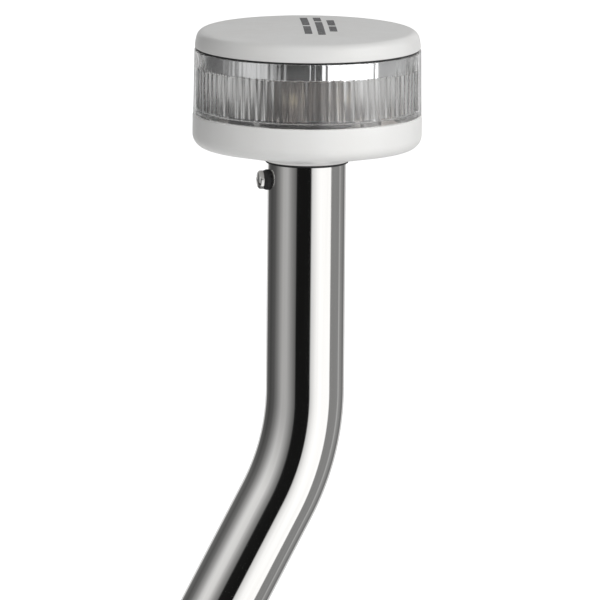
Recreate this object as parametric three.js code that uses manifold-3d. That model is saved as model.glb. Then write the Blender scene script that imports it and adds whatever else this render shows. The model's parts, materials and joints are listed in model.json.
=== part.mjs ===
// All-round navigation light on an angled stainless pole that plugs into a deck socket.
//
// Frame: millimetres, +Z up. The origin is the centre of the socket's mounting face. The socket and the
// lower pole lean towards +X, and one bend brings the pole's top upright, so that the light stands level.
// Local frames: the base group's Z runs up the leaning pole from the mounting face, and the head group's
// Z runs up the light's axis from the pole's top end.

import * as THREE from "three";
import { mergeVertices } from "three/addons/utils/BufferGeometryUtils.js";
import Module from "manifold-3d";

const wasm = await Module();
wasm.setup();

// ---------------------------------------------------------------- driving dimensions

const LEAN = THREE.MathUtils.degToRad(27.5); // lean of the lower pole, and the angle of its one bend
const POLE_R = 10;
const POLE_WALL = 1.2;
const POLE_BORE_R = POLE_R - POLE_WALL;
const POLE_FOOT = -58; // lower end of the tube, along the leaning axis
const LEANING_LENGTH = 312; // mounting face to the start of the bend
const BEND_R = 62;
const UPRIGHT_LENGTH = 58.6; // end of the bend to the light
const GAP = 0.1; // between pieces that touch

// sides of round pieces
const ROUND = 32;
const WIDE_ROUND = 48;
const SMALL_ROUND = 16;
const BEND_STEPS = 8;

// light, heights above the pole's top end
const HUB_Z = 0.5;
const CONE_Z = 0.95; // top of the hub's short straight wall
const HUB_R = 10.7;
const HUB_BORE_R = 3;
const SPIGOT_LENGTH = 17;
const UNDERSIDE_ANGLE = 10.8; // degrees, slope of the shallow cone under the light
const CUP_R = 29.3;
const CUP_CORNER_R = 3.5;
const CUP_RIM_Z = 12.5;
const CUP_BORE_R = 26.9;
const CUP_LEDGE_R = 25.2; // bore below the ledge that carries the lens seal
const CUP_FLOOR_Z = 4;
const SEAL_SEAT_Z = 8.9;
const SEAL_THICK = 1;
const LENS_R = 29.15;
const LENS_TOP_R = 28.95;
const LENS_BORE_R = 27.1;
const LENS_SKIRT_R = 25.5;
const LENS_TOP_Z = 29.1;
const COVER_R = 28.87;
const COVER_SHOULDER_R = 28.8;
const COVER_Z = 29.6;
const COVER_SHOULDER_Z = 30.9;
const COVER_SLOPE_ANGLE = 12; // degrees in from upright, above the shoulder
const COVER_SLOPE_TOP_Z = 32.2;
const COVER_CORNER_R = 2.4;
const COVER_TOP_Z = 35.05;
const COVER_THICK = 2;
const REFLECTOR_R = 26.5;
const REFLECTOR_BORE_R = 10.6;
const REFLECTOR_THICK = 0.8;
const REFLECTOR_Z = 24.6;
const BOARD_Z = 8.3;
const BOARD_R = 24;
const BOARD_THICK = 1.6;
const BOARD_TOP = BOARD_Z + BOARD_THICK + GAP;
const BOSS_CIRCLE_R = 18;
const BOSS_R = 2.6;
const COIL = { r: 3.4, height: 3, x: -17.6, y: -3 };
const CAPACITOR = { r: 2.6, height: 3.6, x: 14, y: -11 };
const CHIP = { width: 6, depth: 5, height: 1.5, x: -10, y: 15 };
const BOARD_SCREW = { shankR: 1, shankLength: 3, headR: 2, headHeight: 1.3 };
const POST_TURN = -32; // degrees about the light's axis
const POST_WIDTH = 15.6; // square LED post, across its flats
const HOLDER_FOOT_R = 12.2;
const HOLDER_R = 13.8;
const HOLDER_STEP = 1;
const HOLDER_HEIGHT = 3;
const STRIP_WIDTH = 5;
const POST_TOP_Z = 25;
const STRIP_THICK = 1;
const LED_Z = 17.2;
const LED_HEIGHT = 2.8;
const LED_WIDTH = 3.6;
const SET_SCREW_Z = -4.35;
const SET_SCREW_SEAT = 11.4; // from the pole's axis to the underside of the head
const SET_SCREW = { shankR: 1.15, shankLength: 5.2, headR: 2.3, headHeight: 1.55 };
const WASHER_R = 2.8;
const WASHER_BORE_R = 1.6;

// plug in the pole's foot and deck socket, heights along the leaning axis above the mounting face
const PLUG_FOOT = -64;
const PIN_FOOT = -72.5;
const PIN_TOP = -52;
const PIN_OFFSET = 3.6;
const PIN_R = 1.4;
const CROSS_PIN_Z = -47;
const GASKET_THICK = 1.5;
const FLANGE_R = 33;
const FLANGE_Z = GASKET_THICK + GAP;
const FLANGE_TOP = FLANGE_Z + 4;
const NECK_R = 15.4;
const NECK_TOP = 22;
const NECK_BORE_R = 10.7;
const SEAT_Z = 17.5; // foot of the neck's conical collet seat
const SEAT_TOP_R = 13.6;
const BARREL_R = 14.2;
const BARREL_BORE_R = 10.5;
const BARREL_FOOT = -78;
const BARREL_TOP = 12;
const CARRIER_TOP = PLUG_FOOT - 0.3;
const SCREW_CIRCLE_R = 25;
const SCREW_HOLE_R = 2.3;
const COLLET_TOP = 23.6;
const SLIP_RING_Z = COLLET_TOP + 0.3;
const SLIP_RING_THICK = 1.2;
const NUT_R = 19;
const NUT_FOOT = 8.4;
const NUT_TOP = 29.6;
const NUT_SHOULDER = SLIP_RING_Z + SLIP_RING_THICK + GAP;
const NUT_FLUTES = 14;

// ---------------------------------------------------------------- solids and meshes

// A geometry as a manifold-3d solid, with its shared vertices merged.
function solid(geometry) {
  const bare = geometry.index ? geometry.toNonIndexed() : geometry.clone();
  bare.deleteAttribute("normal");
  bare.deleteAttribute("uv");
  const merged = mergeVertices(bare, 1e-4);
  return new wasm.Manifold(
    new wasm.Mesh({
      numProp: 3,
      vertProperties: new Float32Array(merged.attributes.position.array),
      triVerts: new Uint32Array(merged.index.array),
    }),
  );
}

function geometryOf(made) {
  const mesh = made.getMesh();
  const geometry = new THREE.BufferGeometry();
  geometry.setAttribute("position", new THREE.BufferAttribute(mesh.vertProperties, 3));
  geometry.setIndex(new THREE.BufferAttribute(mesh.triVerts, 1));
  return geometry;
}

function cut(geometry, ...tools) {
  return geometryOf(tools.reduce((whole, tool) => whole.subtract(solid(tool)), solid(geometry)));
}

function join(geometry, ...others) {
  return geometryOf(others.reduce((whole, other) => whole.add(solid(other)), solid(geometry)));
}

// A solid of revolution about Z from a closed outline of [radius, height] pairs, in either direction.
function turned(outline, segments = ROUND) {
  const points = outline.map(([r, z]) => new THREE.Vector2(r, z));
  if (THREE.ShapeUtils.isClockWise(points)) points.reverse();
  points.push(points[0].clone());
  const geometry = new THREE.LatheGeometry(points, segments);
  geometry.rotateX(Math.PI / 2);
  return geometry;
}

function ring(innerR, outerR, z0, z1, segments = ROUND) {
  return turned([[innerR, z0], [outerR, z0], [outerR, z1], [innerR, z1]], segments);
}

function cylinder(r, z0, z1, segments = SMALL_ROUND) {
  const geometry = new THREE.CylinderGeometry(r, r, z1 - z0, segments);
  geometry.rotateX(Math.PI / 2);
  geometry.translate(0, 0, (z0 + z1) / 2);
  return geometry;
}

function box(width, depth, z0, z1) {
  const geometry = new THREE.BoxGeometry(width, depth, z1 - z0);
  geometry.translate(0, 0, (z0 + z1) / 2);
  return geometry;
}

// Points of an arc about [r, z], from one angle to another in degrees, for a turned outline.
function arc(r, z, radius, from, to, steps = 5) {
  return Array.from({ length: steps + 1 }, (_, i) => {
    const angle = THREE.MathUtils.degToRad(from + ((to - from) * i) / steps);
    return [r + radius * Math.cos(angle), z + radius * Math.sin(angle)];
  });
}

function finish(color, roughness, metalness = 0) {
  return new THREE.MeshStandardMaterial({ color, roughness, metalness });
}

const FINISHES = {
  whiteAbs: finish(0xe9e9e6, 0.42),
  whiteNylon: finish(0xe4e4e0, 0.5),
  clearLens: finish(0xe8ecee, 0.08),
  polishedSteel: finish(0xc9cacc, 0.08, 1),
  chrome: finish(0xd8dadd, 0.05, 1),
  brass: finish(0xc9a55a, 0.25, 1),
  aluminium: finish(0xc3c5c8, 0.35, 1),
  darkAluminium: finish(0x6b6a69, 0.45, 1),
  blackNylon: finish(0x1b1b1c, 0.55),
  rubber: finish(0x161616, 0.8),
  silicone: finish(0xd9dcdc, 0.4),
  board: finish(0xd2d4d0, 0.5),
  ledBoard: finish(0xd9cfc8, 0.5),
  ledPhosphor: finish(0xe8c25a, 0.4),
};

function piece(name, geometry, material) {
  const mesh = new THREE.Mesh(geometry, material);
  mesh.name = name;
  return mesh;
}

// ---------------------------------------------------------------- the pole's centre line

function leaningStation(s) {
  return {
    point: new THREE.Vector3(s * Math.sin(LEAN), 0, s * Math.cos(LEAN)),
    tangent: new THREE.Vector3(Math.sin(LEAN), 0, Math.cos(LEAN)),
  };
}

function bendStation(turnedBy) {
  const left = LEAN - turnedBy;
  const x = BEND_R * (Math.cos(left) - Math.cos(LEAN));
  const z = BEND_R * (Math.sin(LEAN) - Math.sin(left));
  return {
    point: leaningStation(LEANING_LENGTH).point.add(new THREE.Vector3(x, 0, z)),
    tangent: new THREE.Vector3(Math.sin(left), 0, Math.cos(left)),
  };
}

function uprightStation(height) {
  const station = bendStation(LEAN);
  station.point.z += height;
  return station;
}

// Leaning straight, bend, upright straight. A step of an extrusion along it ends at each station.
class PoleLine extends THREE.Curve {
  constructor(foot, top, bendSteps) {
    super();
    const bend = Array.from({ length: bendSteps + 1 }, (_, i) => bendStation((LEAN * i) / bendSteps));
    this.stations = [leaningStation(foot), ...bend, uprightStation(top)];
  }

  station(t) {
    return this.stations[Math.round(t * (this.stations.length - 1))];
  }

  getPointAt(t) {
    return this.station(t).point.clone();
  }

  getTangentAt(t) {
    return this.station(t).tangent.clone();
  }
}

// Three.js splits a full circle into twice its curveSegments.
function alongPole(shape, foot, top, sides) {
  const extrudePath = new PoleLine(foot, top, BEND_STEPS);
  const steps = extrudePath.stations.length - 1;
  const curveSegments = sides / 2;
  return new THREE.ExtrudeGeometry(shape, { steps, curveSegments, extrudePath, bevelEnabled: false });
}

function disc(r, holeR = 0) {
  const shape = new THREE.Shape().absarc(0, 0, r, 0, 2 * Math.PI, false);
  if (holeR) shape.holes.push(new THREE.Path().absarc(0, 0, holeR, 0, 2 * Math.PI, true));
  return shape;
}

// ---------------------------------------------------------------- light: casing and lens

// Cap with a drafted wall, a slope above its shoulder, and a shallow crown that starts at a rounded corner.
function topCover() {
  const slope = THREE.MathUtils.degToRad(COVER_SLOPE_ANGLE);
  const slopeTopR = COVER_SHOULDER_R - (COVER_SLOPE_TOP_Z - COVER_SHOULDER_Z) * Math.tan(slope);
  const cornerR = slopeTopR - COVER_CORNER_R * Math.cos(slope);
  const cornerZ = COVER_SLOPE_TOP_Z - COVER_CORNER_R * Math.sin(slope);
  const crown = (r) => COVER_TOP_Z - (COVER_TOP_Z - cornerZ - COVER_CORNER_R) * (r / cornerR) ** 2;
  return turned(
    [
      [COVER_R, COVER_Z],
      [COVER_SHOULDER_R, COVER_SHOULDER_Z],
      ...arc(cornerR, cornerZ, COVER_CORNER_R, COVER_SLOPE_ANGLE, 86, 4),
      ...[18, 9, 0].map((r) => [r, crown(r)]),
      ...[0, 24].map((r) => [r, crown(r) - COVER_THICK]),
      [COVER_R - COVER_THICK, COVER_Z + 1.2],
      [COVER_R - COVER_THICK, COVER_Z],
    ],
    WIDE_ROUND,
  );
}

function lens() {
  const skirtZ = SEAL_SEAT_Z + SEAL_THICK + 2 * GAP;
  return turned(
    [
      [CUP_BORE_R - GAP, skirtZ],
      [CUP_BORE_R - GAP, CUP_RIM_Z + GAP],
      [LENS_R, CUP_RIM_Z + GAP],
      [LENS_TOP_R, LENS_TOP_Z],
      [LENS_BORE_R, LENS_TOP_Z],
      [LENS_BORE_R, CUP_RIM_Z + 1.1],
      [LENS_SKIRT_R, CUP_RIM_Z + 1.1],
      [LENS_SKIRT_R, skirtZ],
    ],
    WIDE_ROUND,
  );
}

// Mirror skirt behind the top of the lens, with a shallow mirror ceiling inside it.
function upperReflector() {
  const top = COVER_Z - 2 * GAP;
  const innerR = REFLECTOR_R - REFLECTOR_THICK;
  return turned([
    [REFLECTOR_R, REFLECTOR_Z],
    [REFLECTOR_R, top],
    [innerR, top],
    [innerR, REFLECTOR_Z + 0.7 + REFLECTOR_THICK],
    [REFLECTOR_BORE_R, REFLECTOR_Z + 1.7 + REFLECTOR_THICK],
    [REFLECTOR_BORE_R, REFLECTOR_Z + 1.7],
    [innerR, REFLECTOR_Z + 0.7],
    [innerR, REFLECTOR_Z],
  ]);
}

// Cup with a cone underneath, a hub that stands on the pole and a spigot that goes inside it.
function baseCup() {
  const slope = THREE.MathUtils.degToRad(UNDERSIDE_ANGLE);
  const cornerR = CUP_R - CUP_CORNER_R;
  const coneRise = (cornerR + CUP_CORNER_R * Math.sin(slope) - HUB_R) * Math.tan(slope);
  const cornerZ = CONE_Z + coneRise + CUP_CORNER_R * Math.cos(slope);
  const shell = turned(
    [
      [HUB_BORE_R, -SPIGOT_LENGTH],
      [POLE_BORE_R - 0.3, -SPIGOT_LENGTH],
      [POLE_BORE_R - 0.3, HUB_Z],
      [HUB_R, HUB_Z],
      [HUB_R, CONE_Z],
      ...arc(cornerR, cornerZ, CUP_CORNER_R, UNDERSIDE_ANGLE - 90, 0, 4),
      [CUP_R, CUP_RIM_Z - 0.3],
      [CUP_R - 0.3, CUP_RIM_Z],
      [CUP_BORE_R, CUP_RIM_Z],
      [CUP_BORE_R, SEAL_SEAT_Z],
      [CUP_LEDGE_R, SEAL_SEAT_Z],
      [CUP_LEDGE_R, CUP_FLOOR_Z + 3],
      [CUP_LEDGE_R - 2.2, CUP_FLOOR_Z + 2],
      [HUB_BORE_R, CUP_FLOOR_Z],
    ],
    WIDE_ROUND,
  );
  const bosses = onBosses(() => cylinder(BOSS_R, CUP_FLOOR_Z, BOARD_Z - GAP));
  const pilots = onBosses(() => cylinder(1.1, BOARD_Z - 3.5, BOARD_Z + 1));
  return cut(join(shell, ...bosses), ...pilots, setScrewBore(SET_SCREW.shankR + GAP));
}

function onBosses(make) {
  return [-1, 1].map((side) => make().translate(0, side * BOSS_CIRCLE_R, 0));
}

// ---------------------------------------------------------------- light: electronics

function driverBoard() {
  const holes = onBosses(() => cylinder(1.5, 0, 20));
  return cut(ring(HUB_BORE_R + 0.4, BOARD_R, BOARD_Z, BOARD_Z + BOARD_THICK), ...holes);
}

// Pan head with a slot, seated at height 0 on its shank.
function slottedScrew({ shankR, shankLength, headR, headHeight }) {
  const body = turned(
    [
      [0, -shankLength],
      [shankR * 0.6, -shankLength],
      [shankR, shankR * 0.4 - shankLength],
      [shankR, 0],
      [headR, 0],
      [headR, headHeight * 0.5],
      [headR * 0.8, headHeight * 0.85],
      [headR * 0.4, headHeight],
      [0, headHeight],
    ],
    SMALL_ROUND,
  );
  return cut(body, box(3 * headR, headR * 0.26, headHeight * 0.5, headHeight + 1));
}

// Collar round the post's foot: a wide plate on a narrower ring, slotted so that the strips stand in it.
function postHolder() {
  const opening = POST_WIDTH + 0.4;
  const pocket = POST_WIDTH + 2 * (GAP + STRIP_THICK) + 0.6;
  const slot = STRIP_WIDTH + 0.6;
  const step = BOARD_TOP + HOLDER_STEP;
  const top = BOARD_TOP + HOLDER_HEIGHT;
  const innerR = opening / 2 - 0.2;
  const collar = turned([
    [innerR, BOARD_TOP],
    [HOLDER_FOOT_R, BOARD_TOP],
    [HOLDER_FOOT_R, step],
    [HOLDER_R, step],
    [HOLDER_R, top],
    [innerR, top],
  ]);
  const pockets = [box(pocket, slot, 0, top + 1), box(slot, pocket, 0, top + 1)];
  const slots = [box(2 * HOLDER_R + 1, slot, step, top + 1), box(slot, 2 * HOLDER_R + 1, step, top + 1)];
  return cut(collar, box(opening, opening, 0, top + 1), ...pockets, ...slots);
}

function boardParts() {
  const onBoard = (geometry, { x, y }) => geometry.translate(x, y, BOARD_TOP);
  return [
    piece("driver_board", driverBoard(), FINISHES.board),
    piece("driver_coil", onBoard(cylinder(COIL.r, 0, COIL.height), COIL), FINISHES.rubber),
    piece(
      "driver_capacitor",
      onBoard(cylinder(CAPACITOR.r, 0, CAPACITOR.height), CAPACITOR),
      FINISHES.aluminium,
    ),
    piece("driver_chip", onBoard(box(CHIP.width, CHIP.depth, 0, CHIP.height), CHIP), FINISHES.blackNylon),
    ...[-1, 1].map((side, i) => {
      const screw = piece(`board_screw_${i + 1}`, slottedScrew(BOARD_SCREW), FINISHES.polishedSteel);
      screw.position.set(0, side * BOSS_CIRCLE_R, BOARD_TOP);
      return screw;
    }),
  ];
}

// Square post with an LED on its own strip of board on each flat.
function ledTower() {
  const tower = new THREE.Group();
  tower.rotation.z = THREE.MathUtils.degToRad(POST_TURN);
  tower.add(
    piece("led_post", box(POST_WIDTH, POST_WIDTH, BOARD_TOP, POST_TOP_Z), FINISHES.darkAluminium),
    piece("led_post_holder", postHolder(), FINISHES.blackNylon),
  );
  const stripX = POST_WIDTH / 2 + GAP + STRIP_THICK / 2;
  const ledX = stripX + STRIP_THICK + GAP;
  for (let i = 0; i < 4; i++) {
    const flat = new THREE.Group();
    flat.rotation.z = (i * Math.PI) / 2;
    const strip = box(STRIP_THICK, STRIP_WIDTH, BOARD_TOP + 0.3, POST_TOP_Z - 4);
    const led = box(STRIP_THICK, LED_WIDTH, LED_Z - LED_HEIGHT / 2, LED_Z + LED_HEIGHT / 2);
    flat.add(
      piece(`led_board_${i + 1}`, strip.translate(stripX, 0, 0), FINISHES.ledBoard),
      piece(`led_${i + 1}`, led.translate(ledX, 0, 0), FINISHES.ledPhosphor),
    );
    tower.add(flat);
  }
  return tower;
}

// ---------------------------------------------------------------- light: fixing to the pole

// Turns a shape made about Z so that it faces out of the pole along -X, at the set screw's height.
function alongSetScrew(geometry) {
  return geometry.rotateY(-Math.PI / 2).translate(0, 0, SET_SCREW_Z);
}

function setScrewBore(r) {
  return alongSetScrew(cylinder(r, 5, 30));
}

// Dished washer under the screw's head, hollowed to fit the pole.
function setScrewWasher() {
  const foot = POLE_R - 0.5;
  const face = SET_SCREW_SEAT - GAP;
  const washer = turned(
    [
      [WASHER_BORE_R, foot],
      [WASHER_R, foot],
      [WASHER_R, face - 0.8],
      [WASHER_R - 0.5, face],
      [WASHER_BORE_R, face],
    ],
    SMALL_ROUND,
  );
  return cut(alongSetScrew(washer), cylinder(POLE_R + GAP, -20, 10, ROUND));
}

function light() {
  const group = new THREE.Group();
  group.position.copy(uprightStation(UPRIGHT_LENGTH).point);
  const sealZ = SEAL_SEAT_Z + GAP;
  const coverGasket = ring(LENS_BORE_R, LENS_TOP_R - 0.5, LENS_TOP_Z + GAP, COVER_Z - GAP, WIDE_ROUND);
  const lensSeal = ring(LENS_SKIRT_R, CUP_BORE_R - 2 * GAP, sealZ, sealZ + SEAL_THICK);
  const screw = alongSetScrew(slottedScrew(SET_SCREW).translate(0, 0, SET_SCREW_SEAT));
  group.add(
    piece("top_cover", topCover(), FINISHES.whiteAbs),
    piece("cover_gasket", coverGasket, FINISHES.rubber),
    piece("lens", lens(), FINISHES.clearLens),
    piece("upper_reflector", upperReflector(), FINISHES.chrome),
    piece("lens_seal", lensSeal, FINISHES.silicone),
    piece("base_cup", baseCup(), FINISHES.whiteAbs),
    ...boardParts(),
    ledTower(),
    piece("pole_gasket", ring(POLE_BORE_R + GAP, POLE_R + 0.6, GAP, HUB_Z - GAP), FINISHES.rubber),
    piece("set_screw", screw, FINISHES.polishedSteel),
    piece("set_screw_washer", setScrewWasher(), FINISHES.rubber),
  );
  return group;
}

// ---------------------------------------------------------------- pole and its plug

function poleTube() {
  const tube = alongPole(disc(POLE_R, POLE_BORE_R), POLE_FOOT, UPRIGHT_LENGTH, ROUND);
  const top = uprightStation(UPRIGHT_LENGTH).point;
  const screwHole = setScrewBore(SET_SCREW.shankR + 0.35).translate(top.x, top.y, top.z);
  return cut(tube, screwHole, crossPin(1.2, POLE_R + 1).rotateY(LEAN));
}

function crossPin(r, reach) {
  return cylinder(r, -reach, reach, 12).rotateX(Math.PI / 2).translate(0, 0, CROSS_PIN_Z);
}

// Solid plug in the tube's end. A flange below the tube carries the seal in a groove.
function plugBody() {
  const flangeR = POLE_R - 0.2;
  const body = turned([
    [0, PLUG_FOOT],
    [flangeR - 0.8, PLUG_FOOT],
    [flangeR, PLUG_FOOT + 0.8],
    [flangeR, PLUG_FOOT + 2.4],
    [flangeR - 0.9, PLUG_FOOT + 2.4],
    [flangeR - 0.9, PLUG_FOOT + 4.2],
    [flangeR, PLUG_FOOT + 4.2],
    [flangeR, POLE_FOOT - GAP],
    [POLE_BORE_R - GAP, POLE_FOOT - GAP],
    [POLE_BORE_R - GAP, -42],
    [0, -42],
  ]);
  const pinBores = onContacts(() => cylinder(PIN_R + GAP, PLUG_FOOT - 5, PIN_TOP));
  return cut(body, ...pinBores, crossPin(1.15, POLE_R));
}

function plugSeal() {
  const middle = PLUG_FOOT + 3.3;
  return turned([
    [9.05, middle - 0.8],
    [10.1, middle - 0.8],
    ...arc(9.75, middle, 0.6, -50, 50, 2),
    [10.1, middle + 0.8],
    [9.05, middle + 0.8],
  ]);
}

function onContacts(make) {
  return [-1, 1].map((side) => make().translate(0, side * PIN_OFFSET, 0));
}

function plugPin() {
  const top = PIN_TOP - GAP;
  const outline = [[0, PIN_FOOT], [0.8, PIN_FOOT], [PIN_R, PIN_FOOT + 0.8], [PIN_R, top], [0, top]];
  return turned(outline, SMALL_ROUND);
}

function pole() {
  const foot = new THREE.Group();
  foot.rotation.y = LEAN;
  foot.add(
    piece("plug_body", plugBody(), FINISHES.blackNylon),
    piece("plug_seal", plugSeal(), FINISHES.rubber),
    piece("plug_cross_pin", crossPin(1, POLE_R - 0.3), FINISHES.polishedSteel),
    ...onContacts(plugPin).map((pin, i) => piece(`plug_pin_${i + 1}`, pin, FINISHES.brass)),
  );
  const lead = alongPole(disc(2.3), -41.7, UPRIGHT_LENGTH + BOARD_Z, 10);
  const group = new THREE.Group();
  group.add(
    piece("pole_tube", poleTube(), FINISHES.polishedSteel),
    piece("pole_lead", lead, FINISHES.blackNylon),
    foot,
  );
  return group;
}

// ---------------------------------------------------------------- deck socket

// Copies of a shape round the axis, the first of them half a step from +X.
function around(count, make) {
  return Array.from({ length: count }, (_, i) => make().rotateZ((2 * Math.PI * (i + 0.5)) / count));
}

function deckGasket() {
  const holes = around(3, () => cylinder(SCREW_HOLE_R + 0.2, -1, 3).translate(SCREW_CIRCLE_R, 0, 0));
  return cut(ring(BARREL_R + 0.4, FLANGE_R - 0.6, 0, GASKET_THICK), ...holes);
}

function countersunkHole() {
  const sinkR = 4.7;
  const outline = [
    [0, -1],
    [SCREW_HOLE_R, -1],
    [SCREW_HOLE_R, FLANGE_TOP + SCREW_HOLE_R - sinkR],
    [sinkR, FLANGE_TOP],
    [sinkR, FLANGE_TOP + 1],
    [0, FLANGE_TOP + 1],
  ];
  return turned(outline, SMALL_ROUND).translate(SCREW_CIRCLE_R, 0, 0);
}

// Flange and threaded neck in one piece. The thread itself is left as its outer cylinder.
function socketFlange() {
  const boreR = BARREL_R + 2 * GAP;
  const outline = [
    [boreR, FLANGE_Z],
    [FLANGE_R, FLANGE_Z],
    [FLANGE_R, FLANGE_Z + 1.2],
    [FLANGE_R - 2.6, FLANGE_TOP],
    [NECK_R, FLANGE_TOP],
    [NECK_R, NECK_TOP - 0.8],
    [NECK_R - 0.8, NECK_TOP],
    [SEAT_TOP_R, NECK_TOP],
    [NECK_BORE_R, SEAT_Z],
    [NECK_BORE_R, BARREL_TOP + 0.2],
    [boreR, BARREL_TOP + 0.2],
  ];
  return cut(turned(outline, WIDE_ROUND), ...around(3, countersunkHole));
}

function contactCarrier() {
  const wells = onContacts(() => cylinder(2.5, BARREL_FOOT - 1, CARRIER_TOP + 1));
  return cut(cylinder(BARREL_BORE_R - GAP, BARREL_FOOT + 0.4, CARRIER_TOP, ROUND), ...wells);
}

// Round sleeve with a closed end, and a flat solder tail that stands out below the barrel.
function socketContact() {
  const top = CARRIER_TOP - 0.3;
  const well = PIN_FOOT - 1.1;
  const sleeve = turned(
    [
      [0, BARREL_FOOT + 0.6],
      [2.35, BARREL_FOOT + 0.6],
      [2.35, top],
      [PIN_R + 0.15, top],
      [PIN_R + 0.15, well],
      [0, well],
    ],
    SMALL_ROUND,
  );
  return join(sleeve, box(0.8, 3, BARREL_FOOT - 6, BARREL_FOOT + 1));
}

// Slotted cone that the nut squeezes on to the pole.
function clampCollet() {
  const clear = 0.35;
  const boreR = POLE_R + 0.15;
  const seatSlope = (SEAT_TOP_R - NECK_BORE_R) / (NECK_TOP - SEAT_Z);
  const outline = [
    [boreR, SEAT_Z + 0.6],
    [NECK_BORE_R - clear + 0.6 * seatSlope, SEAT_Z + 0.6],
    [SEAT_TOP_R - clear, NECK_TOP],
    [SEAT_TOP_R - clear, COLLET_TOP],
    [boreR, COLLET_TOP],
  ];
  return cut(turned(outline), box(12, 1.4, 10, 30).translate(12, 0, 0));
}

// Fluted nut. Its thread is left as its inner cylinder, and its shoulder bears on the slip ring.
function clampNut() {
  const threadR = NECK_R + 0.35;
  const mouthR = POLE_R + 0.6;
  const body = turned(
    [
      [threadR, NUT_FOOT],
      [NUT_R - 0.8, NUT_FOOT],
      [NUT_R, NUT_FOOT + 0.8],
      [NUT_R, NUT_TOP - 2.4],
      [NUT_R - 2.4, NUT_TOP],
      [mouthR + 0.8, NUT_TOP],
      [mouthR, NUT_TOP - 0.8],
      [mouthR, NUT_SHOULDER],
      [threadR, NUT_SHOULDER],
    ],
    3 * NUT_FLUTES,
  );
  const flute = () => cylinder(2.2, NUT_FOOT + 2.4, NUT_TOP + 1, 10).translate(NUT_R + 1.1, 0, 0);
  return cut(body, ...around(NUT_FLUTES, flute));
}

function deckSocket() {
  const slipRing = ring(POLE_R + 0.5, NECK_R - 0.8, SLIP_RING_Z, SLIP_RING_Z + SLIP_RING_THICK);
  const group = new THREE.Group();
  group.rotation.y = LEAN;
  group.add(
    piece("deck_gasket", deckGasket(), FINISHES.rubber),
    piece("socket_flange", socketFlange(), FINISHES.polishedSteel),
    piece("socket_barrel", ring(BARREL_BORE_R, BARREL_R, BARREL_FOOT, BARREL_TOP), FINISHES.blackNylon),
    piece("contact_carrier", contactCarrier(), FINISHES.whiteNylon),
    piece("clamp_collet", clampCollet(), FINISHES.blackNylon),
    piece("slip_ring", slipRing, FINISHES.brass),
    piece("clamp_nut", clampNut(), FINISHES.whiteNylon),
    ...onContacts(socketContact).map((contact, i) => {
      return piece(`socket_contact_${i + 1}`, contact, FINISHES.brass);
    }),
  );
  return group;
}

const navigationLight = new THREE.Group();
navigationLight.add(light(), pole(), deckSocket());
export default navigationLight;
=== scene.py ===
"""Looks for the all-round navigation light on its plug-in pole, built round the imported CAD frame.

Shapes are drawn in millimetres in one of two local frames and placed in metres. The head frame stands on the
pole's top end with Z up the light's axis. The base frame has its Z up the leaning pole from the deck.
"""

import json
import math

import bmesh
import bpy
from mathutils import Matrix, Vector


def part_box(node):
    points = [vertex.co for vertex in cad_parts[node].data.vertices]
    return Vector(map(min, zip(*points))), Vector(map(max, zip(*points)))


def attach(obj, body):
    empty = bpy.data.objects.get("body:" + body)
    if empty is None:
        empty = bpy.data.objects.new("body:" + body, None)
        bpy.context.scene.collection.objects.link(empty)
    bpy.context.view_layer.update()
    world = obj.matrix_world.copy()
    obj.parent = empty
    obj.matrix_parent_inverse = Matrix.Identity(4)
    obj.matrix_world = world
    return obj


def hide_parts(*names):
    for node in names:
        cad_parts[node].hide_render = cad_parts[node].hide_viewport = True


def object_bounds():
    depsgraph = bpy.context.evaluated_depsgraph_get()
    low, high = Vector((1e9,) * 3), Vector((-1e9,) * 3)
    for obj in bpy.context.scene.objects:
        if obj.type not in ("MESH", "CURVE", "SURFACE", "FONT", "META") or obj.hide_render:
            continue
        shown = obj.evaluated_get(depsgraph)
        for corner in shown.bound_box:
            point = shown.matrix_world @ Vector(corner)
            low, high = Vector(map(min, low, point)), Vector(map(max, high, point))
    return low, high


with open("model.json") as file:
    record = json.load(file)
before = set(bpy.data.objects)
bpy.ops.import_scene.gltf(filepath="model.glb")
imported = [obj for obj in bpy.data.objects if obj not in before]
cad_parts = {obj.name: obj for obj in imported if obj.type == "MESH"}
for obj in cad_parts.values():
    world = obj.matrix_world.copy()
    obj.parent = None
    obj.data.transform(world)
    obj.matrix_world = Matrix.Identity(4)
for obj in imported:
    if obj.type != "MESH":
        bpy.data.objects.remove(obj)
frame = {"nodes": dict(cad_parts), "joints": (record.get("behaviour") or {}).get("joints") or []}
cad_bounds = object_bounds()

MM = 0.001
FINE = 192  # sides of a large round piece
ROUND = 96  # sides of a smaller one


def width(node):
    """Size of a node across Y, in millimetres."""
    low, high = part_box(node)
    return (high.y - low.y) / MM


# ------------------------------------------------------------------ places, from the frame

pole_slide = next(j for j in frame["joints"] if j["name"] == "pole_slide")
pole_axis = Vector(pole_slide["axis"])
LEAN = math.atan2(pole_axis.x, pole_axis.z)
lens_low, lens_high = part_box("lens")
TUBE_TOP = Vector(((lens_low.x + lens_high.x) / 2, 0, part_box("pole_tube")[1].z))
HEAD = Matrix.Translation(TUBE_TOP)
BASE = Matrix.Rotation(LEAN, 4, "Y")
AT_ORIGIN = Matrix.Identity(4)


def head_z(node, top=False):
    """Height of a light's node above the pole's top end, in millimetres."""
    return (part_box(node)[1 if top else 0].z - TUBE_TOP.z) / MM


# ------------------------------------------------------------------ sizes in millimetres

GAP = 0.1
POLE_R = width("pole_tube") / 2
POLE_BORE_R = POLE_R - 1.2
POLE_FOOT = -58
LEANING_LENGTH = 312
BEND_R = 62
UPRIGHT_LENGTH = 58.6

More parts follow.
